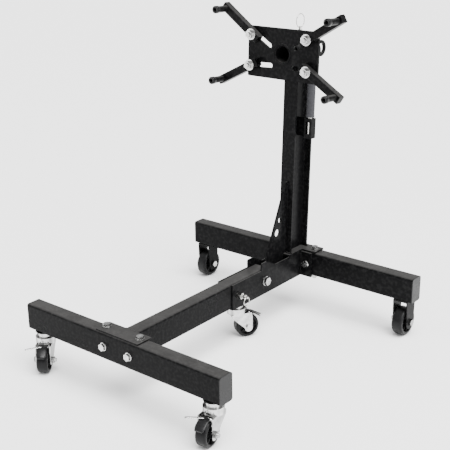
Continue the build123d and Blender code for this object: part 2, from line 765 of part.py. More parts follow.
def make_wheel(name, centre, axle, radius, width, hub_width, bore):
    """Wheel turned about its axle, with a recess in each side and a raised hub."""
    axis_plane = Plane(origin=centre, x_dir=(0, 0, 1), z_dir=axle.cross(Vector(0, 0, 1)))
    rim = radius * wheel_rim_share
    hub = bore + wheel_hub_wall
    web = width * wheel_web_share
    edge = radius - wheel_edge
    shoulder = width / 2 - wheel_edge
    with BuildPart() as wheel:
        with BuildSketch(axis_plane) as profile:
            with BuildLine():
                Polyline(
                    (bore, -hub_width / 2), (hub, -hub_width / 2), (hub, -web), (rim, -web),
                    (rim, -width / 2), (edge, -width / 2), (radius, -shoulder),
                    (radius, shoulder), (edge, width / 2), (rim, width / 2),
                    (rim, web), (hub, web), (hub, hub_width / 2), (bore, hub_width / 2),
                    close=True,
                )
            make_face()
        revolve(profile.sketch, axis=Axis(centre, axle))
    save(wheel.part, name)


def make_caster(name, axis_x, axis_y, top_z, trail_angle):
    """Swivel caster with a braked wheel that trails its kingpin."""
    turn = radians(trail_angle)
    trail = Vector(cos(turn), sin(turn), 0)
    axle = Vector(sin(turn), -cos(turn), 0)
    foot = Vector(axis_x, axis_y, 0)
    level = Plane(origin=foot, x_dir=trail, z_dir=(0, 0, 1))
    upright = Plane(origin=foot, x_dir=trail, z_dir=axle)
    kingpin = Axis(foot, (0, 0, 1))
    ring_bottom = cup_top_z + slip_gap
    plate_bottom = top_z - caster_plate_thickness
    head_top = crown_z - slip_gap

    with BuildPart() as mount:
        with BuildSketch(upright) as profile:
            with BuildLine():
                Polyline(
                    (0, top_z), (caster_plate_radius, top_z), (caster_plate_radius, plate_bottom),
                    (caster_ring_radius, plate_bottom), (caster_ring_radius, ring_bottom),
                    (kingpin_radius, ring_bottom), (kingpin_radius, head_top),
                    (kingpin_head_radius, head_top),
                    (kingpin_head_radius, head_top - kingpin_head_height),
                    (0, head_top - kingpin_head_height),
                    close=True,
                )
            make_face()
        revolve(profile.sketch, axis=kingpin)
    save(mount.part, f"{name}_mount")

    cheek_x = caster_fork_gap / 2
    cheek_outer_x = cheek_x + caster_sheet
    cheek_top = crown_z + caster_sheet
    cheek_heel = -caster_cup_radius * caster_heel_share
    cheek_foot_z = caster_wheel_radius - caster_axle_drop
    crown_end = pedal_reach - pedal_barrel_radius - 2 * slip_gap
    wheel_point = foot + trail * caster_trail + Vector(0, 0, caster_wheel_radius)
    pedal_point = foot + trail * pedal_reach + Vector(0, 0, pedal_z)
    wheel_axis = Plane(origin=wheel_point, x_dir=trail, z_dir=axle)
    pedal_axis = Plane(origin=pedal_point, x_dir=trail, z_dir=axle)

    with BuildPart() as fork:
        disc(level.offset(crown_z), caster_cup_radius, cup_top_z - crown_z)
        with BuildSketch(upright.offset(-cheek_outer_x)) as cheek:
            with BuildLine():
                Polyline(
                    (cheek_heel, cheek_top), (cheek_heel, crown_z - caster_heel_drop),
                    (caster_trail - caster_cheek_end, cheek_foot_z),
                    (caster_trail + caster_cheek_end, cheek_foot_z),
                    (caster_trail + caster_cheek_end, crown_z - caster_nose_drop),
                    (caster_trail + caster_nose_reach, cheek_top),
                    close=True,
                )
            make_face()
            with Locations((caster_trail, cheek_foot_z)):
                Circle(caster_cheek_end)
        for shift in (0, 2 * cheek_x + caster_sheet):
            extrude(cheek.sketch.moved(Location(axle * shift)), amount=caster_sheet)
        with BuildSketch(level.offset(crown_z)) as crown:
            with Locations(((cheek_heel + crown_end) / 2, 0)):
                Rectangle(crown_end - cheek_heel, 2 * cheek_outer_x)
        extrude(crown.sketch, amount=caster_sheet)
        drill(level.offset(cup_top_z), kingpin_radius + running_fit, cup_top_z)
        drill(wheel_axis.offset(cheek_outer_x), m10[0] + running_fit, 2 * cheek_outer_x)
        drill(pedal_axis.offset(cheek_outer_x), pedal_pin_radius + running_fit, 2 * cheek_outer_x)
    save(fork.part, f"{name}_fork")

    make_wheel(f"{name}_wheel", wheel_point, axle, caster_wheel_radius, caster_wheel_width,
               caster_fork_gap - 2 * hub_gap, m10[0] + running_fit)

    with BuildPart() as axle_bolt:
        fastener(wheel_axis.offset(cheek_outer_x), 2 * cheek_outer_x, m10, washers=False)
    save(axle_bolt.part, f"{name}_axle")

    with BuildPart() as brake:
        disc(pedal_axis.offset(-cheek_outer_x), pedal_pin_radius, 2 * cheek_outer_x)
        disc(pedal_axis.offset(-cheek_x + hub_gap), pedal_barrel_radius, 2 * (cheek_x - hub_gap))
        top_z = pedal_z + pedal_rise
        under_z = top_z - pedal_thickness
        tip = Vector(pedal_reach + pedal_run[0], pedal_z + pedal_run[1])
        bend_x = pedal_reach + pedal_bend
        with BuildSketch(upright.offset(-pedal_width / 2)) as tongue:
            with BuildLine():
                Polyline(
                    (pedal_reach, under_z), (pedal_reach, top_z), (bend_x, top_z),
                    (tip.X, tip.Y), (tip.X - pedal_slope, tip.Y - pedal_thickness),
                    (bend_x - pedal_slope, under_z),
                    close=True,
                )
            make_face()
        extrude(tongue.sketch, amount=pedal_width)
        lever_start = pedal_reach + lever_inset
        with BuildSketch(level.offset(top_z - seat_gap)) as lever:
            with BuildLine():
                Polyline(
                    (lever_start, -lever_inset), (lever_start + lever_run, -lever_reach),
                    (lever_start + lever_run + lever_width, -lever_reach + lever_width / 2),
                    (lever_start + lever_width, -lever_inset),
                    close=True,
                )
            make_face()
        extrude(lever.sketch, amount=lever_thickness)
    save(brake.part, f"{name}_brake")


front_caster_x = front_beam_length / 2 - front_caster_inset
middle_caster_y = channel_front_y + middle_caster_setback
make_caster("left_caster", -front_caster_x, front_mid_y, beam_floor_gap, left_trail_angle)
make_caster("right_caster", front_caster_x, front_mid_y, beam_floor_gap, right_trail_angle)
make_caster("middle_caster", 0, middle_caster_y, channel_bottom_z, middle_trail_angle)

# ---- fixed rear wheels -----------------------------------------------------------------------

rear_wheel_x = rear_beam_length / 2 - rear_wheel_inset
rear_axles = []
for name, side in (("left", -1), ("right", 1)):
    centre = Vector(side * rear_wheel_x, rear_mid_y, rear_wheel_radius)
    cheek_x = rear_fork_gap / 2
    with BuildPart() as rear_fork:
        with BuildSketch(Plane.XY.offset(beam_floor_gap - rear_fork_sheet)):
            with Locations((centre.X, centre.Y)):
                Rectangle(rear_fork_gap + 2 * rear_fork_sheet, rear_fork_top_length)
        extrude(amount=rear_fork_sheet)
        for start in (centre.X - cheek_x - rear_fork_sheet, centre.X + cheek_x):
            with BuildSketch(Plane.YZ.offset(start)):
                with BuildLine():
                    half_top = rear_fork_top_length / 2
                    Polyline(
                        (centre.Y - half_top, beam_floor_gap),
                        (centre.Y + half_top, beam_floor_gap),
                        (centre.Y + rear_fork_foot_radius, centre.Z),
                        (centre.Y - rear_fork_foot_radius, centre.Z),
                        close=True,
                    )
                make_face()
                with Locations((centre.Y, centre.Z)):
                    Circle(rear_fork_foot_radius)
            extrude(amount=rear_fork_sheet)
        axle_plane = Plane(origin=centre, x_dir=(0, 1, 0), z_dir=(1, 0, 0))
        axle_seat = axle_plane.offset(cheek_x + rear_fork_sheet)
        drill(axle_seat.offset(drill_over), m12[0] + running_fit,
              rear_fork_gap + 2 * rear_fork_sheet + 2 * drill_over)
    save(rear_fork.part, f"rear_fork_{name}")
    make_wheel(f"rear_wheel_{name}", centre, Vector(1, 0, 0), rear_wheel_radius, rear_wheel_width,
               rear_fork_gap - 2 * hub_gap, m12[0] + running_fit)
    rear_axles.append(axle_seat)

with BuildPart() as rear_axle_bolts:
    for seat in rear_axles:
        fastener(seat, rear_fork_gap + 2 * rear_fork_sheet, m12, washers=False)
save(rear_axle_bolts.part, "rear_axle_bolts")
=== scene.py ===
"""Looks of a folding engine stand, laid out as an add-on around its fixed frame."""

import json
from math import cos, pi, radians, sin, tau

import bmesh
import bpy
from bpy.props import FloatProperty, FloatVectorProperty, IntProperty, PointerProperty
from mathutils import Matrix, Vector


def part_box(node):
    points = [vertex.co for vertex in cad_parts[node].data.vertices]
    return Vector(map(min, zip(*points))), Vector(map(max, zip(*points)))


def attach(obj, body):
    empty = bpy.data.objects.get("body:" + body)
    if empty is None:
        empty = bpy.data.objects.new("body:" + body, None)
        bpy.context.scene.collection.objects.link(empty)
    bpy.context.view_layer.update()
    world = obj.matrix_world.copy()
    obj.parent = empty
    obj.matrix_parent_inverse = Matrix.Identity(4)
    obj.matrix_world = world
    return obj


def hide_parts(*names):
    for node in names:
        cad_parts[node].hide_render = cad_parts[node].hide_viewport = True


bl_info = {
    "name": "Engine stand",
    "version": (1, 0, 0),
    "blender": (4, 5, 0),
    "location": "View3D > Sidebar > Stand",
    "description": "Paint, plating, wheels, pedals, grip and welds of a folding engine stand",
    "category": "Object",
}

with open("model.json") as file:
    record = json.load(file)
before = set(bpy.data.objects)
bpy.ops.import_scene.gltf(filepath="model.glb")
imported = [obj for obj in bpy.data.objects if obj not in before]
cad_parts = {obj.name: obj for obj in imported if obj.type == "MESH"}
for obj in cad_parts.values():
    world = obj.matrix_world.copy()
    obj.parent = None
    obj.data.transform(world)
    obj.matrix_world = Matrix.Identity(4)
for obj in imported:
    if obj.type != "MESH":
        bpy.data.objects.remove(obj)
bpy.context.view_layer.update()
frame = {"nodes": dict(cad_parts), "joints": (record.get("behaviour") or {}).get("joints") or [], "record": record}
JOINTS = {joint["name"]: joint for joint in frame["joints"]}
UP_MAST = Vector(JOINTS["turning_bar_lift"]["axis"])
AHEAD = Vector(JOINTS["head_spin"]["axis"])
HEAD_POINT = Vector(JOINTS["head_spin"]["pos_m"])
ACROSS = Vector((1, 0, 0))
CASTERS = ("left_caster", "right_caster", "middle_caster")
QUARTERS = ("upper_left", "upper_right", "lower_left", "lower_right")
SIDES = ((-1, "left"), (1, "right"))
UPRIGHT = Vector((0, 0, 1))

# Sizes of the frame that a node's box doesn't give, in metres.
MAST_DEPTH = 0.0955             # front face to rear face
HEAD_TUBE_RADIUS = 0.030
CHANNEL_HALF_WIDTH = 0.029      # middle to a wall's outer face
CHANNEL_FLANGE = 0.008          # thickness of the flange on the rear beam
PEDAL_HALF_WIDTH = 0.015
PEDAL_THICKNESS = 0.005


# ---- settings -------------------------------------------------------------------------------


class STAND_PG_sizes(bpy.types.PropertyGroup):
    """Sizes of the details that are added to the frame."""

    edge_round: FloatProperty(
        name="Edge rounding", description="Rounding on sheet and tube edges",
        default=0.0007, min=0.0, unit="LENGTH")
    bead_radius: FloatProperty(
        name="Weld bead", description="Radius of a weld bead",
        default=0.0026, min=0.0005, unit="LENGTH")
    bead_ripple: FloatProperty(
        name="Weld ripple pitch", description="Distance from one ripple of a bead to the next",
        default=0.0026, min=0.0005, unit="LENGTH")
    tread_round: FloatProperty(
        name="Tread rounding", description="Rounding of a wheel's tread edges",
        default=0.0065, min=0.001, unit="LENGTH")
    wheel_ribs: IntProperty(
        name="Wheel ribs", description="Ribs on each side of a wheel's web", default=8, min=3)
    grip_rings: IntProperty(
        name="Grip rings", description="Rings along the turning bar's grip", default=22, min=4)


class STAND_PG_colours(bpy.types.PropertyGroup):
    """Colours of the finishes."""

    enamel: FloatVectorProperty(
        name="Enamel", description="Paint of the frame", subtype="COLOR",
        size=3, min=0, max=1, default=(0.0022, 0.0022, 0.0024))
    zinc: FloatVectorProperty(
        name="Zinc", description="Plating of forks, bolts and nuts", subtype="COLOR",
        size=3, min=0, max=1, default=(0.42, 0.42, 0.415))
    steel: FloatVectorProperty(
        name="Steel", description="Turned pins and wire rings", subtype="COLOR",
        size=3, min=0, max=1, default=(0.46, 0.455, 0.44))
    tread: FloatVectorProperty(
        name="Tread", description="Wheels", subtype="COLOR",
        size=3, min=0, max=1, default=(0.003, 0.003, 0.0033))
    plastic: FloatVectorProperty(
        name="Plastic", description="End caps and pedals", subtype="COLOR",
        size=3, min=0, max=1, default=(0.004, 0.004, 0.0043))
    floor: FloatVectorProperty(
        name="Floor", description="Floor under the stand", subtype="COLOR",
        size=3, min=0, max=1, default=(0.92, 0.92, 0.92))


def sizes():
    return bpy.context.scene.stand_sizes


def colours():
    return bpy.context.scene.stand_colours


# ---- shader groups ----------------------------------------------------------------------------


def new_group(name, inputs, outputs):
    """Empty shader group with float inputs as (name, default) and outputs as (name, type)."""
    group = bpy.data.node_groups.new(name, "ShaderNodeTree")
    for label, default in inputs:
        socket = group.interface.new_socket(label, in_out="INPUT", socket_type="NodeSocketFloat")
        socket.default_value = default
    for label, kind in outputs:
        group.interface.new_socket(label, in_out="OUTPUT", socket_type=kind)
    return group, group.nodes.new("NodeGroupInput"), group.nodes.new("NodeGroupOutput")


def ramp(tree, source, low, high):
    """Smooth step of a value from low to high."""
    node = tree.nodes.new("ShaderNodeMapRange")
    node.interpolation_type = "SMOOTHSTEP"
    node.inputs["From Min"].default_value = low
    node.inputs["From Max"].default_value = high
    tree.links.new(source, node.inputs["Value"])
    return node.outputs["Result"]


def maths(tree, operation, first, second):
    """Math node whose operands are sockets or numbers."""
    node = tree.nodes.new("ShaderNodeMath")
    node.operation = operation
    for socket, value in zip(node.inputs, (first, second)):
        if isinstance(value, (int, float)):
            socket.default_value = value
        else:
            tree.links.new(value, socket)
    return node.outputs[0]


def noise(tree, vector, scale, detail):
    """Noise over the object's own coordinates, at a scale given by a socket."""
    node = tree.nodes.new("ShaderNodeTexNoise")
    node.inputs["Detail"].default_value = detail
    tree.links.new(scale, node.inputs["Scale"])
    tree.links.new(vector, node.inputs["Vector"])
    return node.outputs["Fac"]


def grain_group():
    """Surface grain: a height for a bump and a slower drift for roughness."""
    group, inner, outer = new_group(
        "surface_grain", [("Fine scale", 900.0), ("Drift scale", 14.0)],
        [("Height", "NodeSocketFloat"), ("Drift", "NodeSocketFloat")])
    place = group.nodes.new("ShaderNodeTexCoord").outputs["Object"]
    fine = noise(group, place, inner.outputs["Fine scale"], 2.0)
    drift = noise(group, place, inner.outputs["Drift scale"], 4.0)
    group.links.new(fine, outer.inputs["Height"])
    group.links.new(ramp(group, drift, 0.35, 0.65), outer.inputs["Drift"])
    return group


def wear_group():
    """Mask of worn convex edges, broken up by noise."""
    group, inner, outer = new_group(
        "edge_wear", [("Break-up scale", 120.0), ("Amount", 0.5)], [("Mask", "NodeSocketFloat")])
    geometry = group.nodes.new("ShaderNodeNewGeometry")
    place = group.nodes.new("ShaderNodeTexCoord").outputs["Object"]
    edge = ramp(group, geometry.outputs["Pointiness"], 0.52, 0.60)
    broken = ramp(group, noise(group, place, inner.outputs["Break-up scale"], 5.0), 0.42, 0.68)
    mask = maths(group, "MULTIPLY", maths(group, "MULTIPLY", edge, broken), inner.outputs["Amount"])
    group.links.new(mask, outer.inputs["Mask"])
    return group


def dust_group():
    """Mask of thin dust that settles on faces that look up."""
    group, inner, outer = new_group(
        "settled_dust", [("Amount", 0.15), ("Patch scale", 22.0)], [("Mask", "NodeSocketFloat")])
    split = group.nodes.new("ShaderNodeSeparateXYZ")
    group.links.new(group.nodes.new("ShaderNodeNewGeometry").outputs["Normal"], split.inputs[0])
    place = group.nodes.new("ShaderNodeTexCoord").outputs["Object"]
    level = ramp(group, split.outputs["Z"], 0.5, 1.0)
    patches = ramp(group, noise(group, place, inner.outputs["Patch scale"], 6.0), 0.3, 0.75)
    uneven = maths(group, "ADD", maths(group, "MULTIPLY", patches, 0.3), 0.7)
    mask = maths(group, "MULTIPLY", maths(group, "MULTIPLY", level, uneven), inner.outputs["Amount"])
    group.links.new(mask, outer.inputs["Mask"])
    return group


def shared_group(name, make):
    return bpy.data.node_groups.get(name) or make()


# ---- materials ----------------------------------------------------------------------------------

DUST_COLOUR = (0.35, 0.34, 0.33, 1.0)
BUMP_DISTANCE = 0.0004
METAL_DRIFT = 1.5               # lighter patches against the base colour
PAINT_DRIFT = 1.2
LEAST_DRIFT = 0.0002


def mixed(tree, mask, first, second):
    """Colour mix; a colour operand is a tuple or a socket."""
    node = tree.nodes.new("ShaderNodeMix")
    node.data_type = "RGBA"
    tree.links.new(mask, node.inputs["Factor"])
    for socket, value in ((node.inputs["A"], first), (node.inputs["B"], second)):
        if isinstance(value, tuple):
            socket.default_value = value
        else:
            tree.links.new(value, socket)
    return node.outputs["Result"]


def finish_material(name, colour, metallic, smooth, rough, fine, bump, wear=0.0, bare=None,
                    dust=0.0, gloss=0.5, drift=14.0, rim=None):
    """Material with grain, roughness drift, edge wear and dust, each from its shader group, and a rim colour
    painted in as a dark reflection where the surface turns away from the view.
    """
    found = bpy.data.materials.get(name)
    if found:
        return found
    material = bpy.data.materials.new(name)
    material.use_nodes = True
    tree = material.node_tree
    shader = tree.nodes["Principled BSDF"]
    shader.inputs["Metallic"].default_value = metallic
    shader.inputs["Specular IOR Level"].default_value = gloss

    grain = tree.nodes.new("ShaderNodeGroup")
    grain.node_tree = shared_group("surface_grain", grain_group)
    grain.inputs["Fine scale"].default_value = fine
    grain.inputs["Drift scale"].default_value = drift
    paint = (*colour, 1.0)
    lift = METAL_DRIFT if metallic else PAINT_DRIFT
    lighter = (*(min(1.0, channel * lift + LEAST_DRIFT) for channel in colour), 1.0)
    base = mixed(tree, grain.outputs["Drift"], paint, lighter)
    if wear > 0:
        worn = tree.nodes.new("ShaderNodeGroup")
        worn.node_tree = shared_group("edge_wear", wear_group)
        worn.inputs["Amount"].default_value = wear
        base = mixed(tree, worn.outputs["Mask"], base, (*(bare or colours().steel), 1.0))
    if dust > 0:
        settled = tree.nodes.new("ShaderNodeGroup")
        settled.node_tree = shared_group("settled_dust", dust_group)
        settled.inputs["Amount"].default_value = dust
        base = mixed(tree, settled.outputs["Mask"], base, DUST_COLOUR)
    # Painted dark reflection: the rim colour is mixed into the base where the surface is seen edge-on, for the
    # dark surroundings that polished metal mirrors at its edges.
    if rim:
        painted_reflection_weight = tree.nodes.new("ShaderNodeLayerWeight")
        painted_reflection_weight.inputs["Blend"].default_value = 0.5
        base = mixed(tree, ramp(tree, painted_reflection_weight.outputs["Facing"], 0.35, 0.85), base, (*rim, 1.0))
    tree.links.new(base, shader.inputs["Base Color"])

    roughness = tree.nodes.new("ShaderNodeMapRange")
    roughness.inputs["To Min"].default_value = smooth
    roughness.inputs["To Max"].default_value = rough
    tree.links.new(grain.outputs["Drift"], roughness.inputs["Value"])
    tree.links.new(roughness.outputs["Result"], shader.inputs["Roughness"])
    relief = tree.nodes.new("ShaderNodeBump")
    relief.inputs["Strength"].default_value = bump
    relief.inputs["Distance"].default_value = BUMP_DISTANCE
    tree.links.new(grain.outputs["Height"], relief.inputs["Height"])
    tree.links.new(relief.outputs["Normal"], shader.inputs["Normal"])
    return material


def enamel():
    return finish_material("black_enamel", tuple(colours().enamel), metallic=0.0,
                           smooth=0.27, rough=0.30, fine=900.0, bump=0.02,
                           wear=0.2, bare=(0.03, 0.03, 0.03), dust=0.075, gloss=0.04, drift=5.0)


def zinc():
    # rim: painted dark reflection along the plating's edges, strongest where they are seen edge-on
    return finish_material("bright_zinc", tuple(colours().zinc), metallic=1.0,
                           smooth=0.14, rough=0.28, fine=1400.0, bump=0.10,
                           wear=0.3, bare=(0.92, 0.92, 0.92), drift=90.0, rim=(0.03, 0.03, 0.03))


def pressed_zinc():
    # rim: painted dark reflection along the pressed plating's edges, strongest where they are seen edge-on
    return finish_material("pressed_zinc", tuple(colours().zinc), metallic=1.0,
                           smooth=0.10, rough=0.24, fine=700.0, bump=0.07,
                           wear=0.2, bare=(0.95, 0.95, 0.95), drift=45.0, rim=(0.05, 0.05, 0.05))


def turned_steel():
    # rim: painted dark reflection along the turned steel's edges, strongest where they are seen edge-on
    return finish_material("turned_steel", tuple(colours().steel), metallic=1.0,
                           smooth=0.2, rough=0.34, fine=1800.0, bump=0.16,
                           drift=160.0, rim=(0.04, 0.04, 0.04))


def tread():
    return finish_material("hard_tread", tuple(colours().tread), metallic=0.0,
                           smooth=0.34, rough=0.5, fine=1100.0, bump=0.2,
                           wear=0.2, bare=(0.04, 0.04, 0.04), dust=0.005, gloss=0.15, drift=60.0)


def moulded():
    return finish_material("moulded_plastic", tuple(colours().plastic), metallic=0.0,
                           smooth=0.24, rough=0.36, fine=1600.0, bump=0.12,
                           dust=0.005, gloss=0.2, drift=40.0)


def grip_rubber():
    return finish_material("grip_rubber", tuple(colours().plastic), metallic=0.0,
                           smooth=0.5, rough=0.68, fine=1300.0, bump=0.35,
                           dust=0.01, gloss=0.08, drift=50.0)


# ---- mesh helpers ---------------------------------------------------------------------------------


def clad(thing, material):
    thing.data.materials.clear()
    thing.data.materials.append(material)


def add_piece(name, mesh, body, material, stands_for=()):
    """Link a finished mesh as a piece that rides on a body."""
    thing = bpy.data.objects.new(name, mesh)
    bpy.context.scene.collection.objects.link(thing)
    clad(thing, material)
    for face in mesh.polygons:
        face.use_smooth = True
    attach(thing, body)
    if stands_for:
        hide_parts(*stands_for)
    return thing


def to_mesh(name, bm):
    bmesh.ops.recalc_face_normals(bm, faces=bm.faces)
    mesh = bpy.data.meshes.new(name)
    bm.to_mesh(mesh)
    bm.free()
    return mesh


def bevelled(thing, width):
    """Round a piece's edges with a modifier, and shade its faces smooth."""
    rounding = thing.modifiers.new("edge_rounding", "BEVEL")
    rounding.width = width
    rounding.segments = 2
    rounding.limit_method = "ANGLE"
    rounding.angle_limit = radians(35)
    rounding.harden_normals = True
    for face in thing.data.polygons:
        face.use_smooth = True


def ring_sweep(bm, rings, closed):
    """Join rings of points into a skin, and close its ends unless the sweep is closed."""
    made = [[bm.verts.new(point) for point in ring] for ring in rings]
    count = len(made[0])
    spans = list(zip(made, made[1:])) + ([(made[-1], made[0])] if closed else [])
    for first, second in spans:
        for index in range(count):
            after = (index + 1) % count
            bm.faces.new((first[index], first[after], second[after], second[index]))
    if not closed:
        bm.faces.new(made[0][::-1])
        bm.faces.new(made[-1])


def lathe(bm, centre, axis, profile, steps=72):
    """Revolve a closed profile of (radius, along) points about an axis."""
    side = axis.orthogonal().normalized()
    other = axis.cross(side)
    rings = []
    for step in range(steps):
        turn = tau * step / steps
        outwards = side * cos(turn) + other * sin(turn)
        rings.append([centre + outwards * radius + axis * along for radius, along in profile])
    ring_sweep(bm, rings, closed=True)


def resampled(points, pitch, closed):
    """Points spaced evenly along a path of straight runs."""
    path = list(points) + ([points[0]] if closed else [])
    lengths = [(second - first).length for first, second in zip(path, path[1:])]
    count = max(6, round(sum(lengths) / pitch))
    found = []
    for index in range(count + (0 if closed else 1)):
        left = sum(lengths) * index / count
        run = 0
        while run < len(lengths) - 1 and left > lengths[run]:
            left -= lengths[run]
            run += 1
        found.append(path[run].lerp(path[run + 1], min(1.0, left / lengths[run])))
    return found


OFF_AXIS = Vector((0.31, 0.52, 0.79))       # a direction that no weld runs in


def weld_bead(name, points, body, closed=False, radius=None):
    """Rippled bead of weld along a path, painted over with the frame."""
    radius = radius or sizes().bead_radius
    ripple = sizes().bead_ripple
    steps = 4                   # rings of points to a ripple
    sides = 8
    path = resampled(points, ripple / steps, closed)
    rings = []
    for index, point in enumerate(path):
        before = path[index - 1] if index or closed else point
        after = path[(index + 1) % len(path)] if closed or index + 1 < len(path) else point
        along = (after - before).normalized()
        side = along.cross(OFF_AXIS).normalized()
        other = along.cross(side)
        # Ripples, then a slow unevenness, then tapered ends
        swell = 0.86 + 0.14 * abs(cos(pi * index / steps))
        swell *= 1 + 0.06 * sin(index * 0.37) + 0.04 * sin(index * 0.11 + 1.0)
        if not closed:
            swell *= min(1.0, 0.45 + 0.2 * min(index, len(path) - 1 - index))
        rings.append([
            point + (side * cos(tau * k / sides) + other * sin(tau * k / sides)) * radius * swell
            for k in range(sides)])
    bm = bmesh.new()
    ring_sweep(bm, rings, closed)
    return add_piece(name, to_mesh(name, bm), body, enamel())


def arc_points(centre, first, second, radius, start, end, steps):
    """Points of an arc in the plane of two directions, from angle to angle in degrees."""
    found = []
    for index in range(steps + 1):
        turn = radians(start + (end - start) * index / steps)
        found.append(centre + (first * cos(turn) + second * sin(turn)) * radius)
    return found


def ring_points(centre, first, second, radius):
    """Points of a whole circle, each of them once."""
    count = 48
    return arc_points(centre, first, second, radius, 0, 360 - 360 / count, count - 1)


# ---- pieces -----------------------------------------------------------------------------------------

FINISHES = {
    "frame_paint": enamel,
    "cap_plastic": moulded,
    "hardware_zinc": zinc,
    "fork_zinc": pressed_zinc,
    "wheel_polymer": tread,
    "pedal": moulded,
    "grip_rubber": grip_rubber,
    "pin_steel": turned_steel,
}


class STAND_OT_frame_finish(bpy.types.Operator):
    """Give each part of the frame its finish and rounded edges"""

    bl_idname = "stand.frame_finish"
    bl_label = "Frame finish"

    def execute(self, context):
        slots = {part["node"]: part["material_slot"] for part in frame["record"]["subparts"]}
        for name, node in frame["nodes"].items():
            clad(node, FINISHES[slots[name]]())
            bevelled(node, sizes().edge_round)
        return {"FINISHED"}


def wheel_piece(node, body, joint):
    """Moulded wheel with a rounded tread, ribbed web and hub, in its node's own size."""
    centre = Vector(JOINTS[joint]["pos_m"])
    axle = Vector(JOINTS[joint]["axis"]).normalized()
    low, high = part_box(node)
    radius = (high.z - low.z) / 2
    tread_share, rim_share = 0.8, 0.74      # of the radius
    chamfer = 0.001
    fine_edge = 0.0004
    hub_wall = 0.006
    rib_half, rib_foot_half = 0.0011, 0.0016
    rib_setback = 0.003
    rib_taper = 0.7
    reach = [abs((vertex.co - centre).dot(axle)) for vertex in frame["nodes"][node].data.vertices]
    distance = [((v.co - centre) - axle * (v.co - centre).dot(axle)).length
                for v in frame["nodes"][node].data.vertices]
    hub_half = max(reach)
    bore = min(distance)
    tread_half = max(r for r, d in zip(reach, distance) if d > radius * tread_share)
    rounding = sizes().tread_round
    rim = radius * rim_share
    web = tread_half / 2
    hub = bore + hub_wall
    half = [(bore, hub_half), (hub, hub_half), (hub + chamfer, hub_half - chamfer),
            (hub + 1.5 * chamfer, web), (rim - 2 * chamfer, web), (rim, web + 2 * chamfer),
            (rim, tread_half - chamfer), (rim + chamfer, tread_half)]
    corner = [(radius - rounding + rounding * sin(turn), tread_half - rounding + rounding * cos(turn))
              for turn in (pi / 2 * step / 8 for step in range(9))]
    outline = half + corner
    profile = outline + [(r, -along) for r, along in reversed(outline)]
    bm = bmesh.new()
    lathe(bm, centre, axle, profile)
    side = axle.orthogonal().normalized()
    other = axle.cross(side)
    for face_side in (-1, 1):
        for index in range(sizes().wheel_ribs):
            turn = tau * index / sizes().wheel_ribs
            outwards = side * cos(turn) + other * sin(turn)
            across = axle.cross(outwards)
            rings = []
            for reach_out in (hub, (hub + rim) / 2, rim):
                thickness = rib_foot_half if reach_out == rim else rib_half
                rings.append([
                    centre + outwards * reach_out + across * (thickness * k)
                    + axle * (face_side * along)
                    for k, along in ((-1, web - chamfer), (1, web - chamfer),
                                     (rib_taper, tread_half - rib_setback),
                                     (-rib_taper, tread_half - rib_setback))])
            ring_sweep(bm, rings, closed=False)
    piece = add_piece(node + "_moulded", to_mesh(node + "_moulded", bm), body, tread(),
                      (node,))
    bevelled(piece, fine_edge)


class STAND_OT_wheels(bpy.types.Operator):
    """Make the moulded wheels of the casters and of the rear forks"""

    bl_idname = "stand.wheels"
    bl_label = "Wheels"

    def execute(self, context):
        for name in CASTERS:
            wheel_piece(f"{name}_wheel", f"{name}_wheel", f"{name}_wheel_spin")
        for side in ("left", "right"):
            wheel_piece(f"rear_wheel_{side}", f"rear_{side}_wheel", f"rear_{side}_wheel_spin")
        return {"FINISHED"}


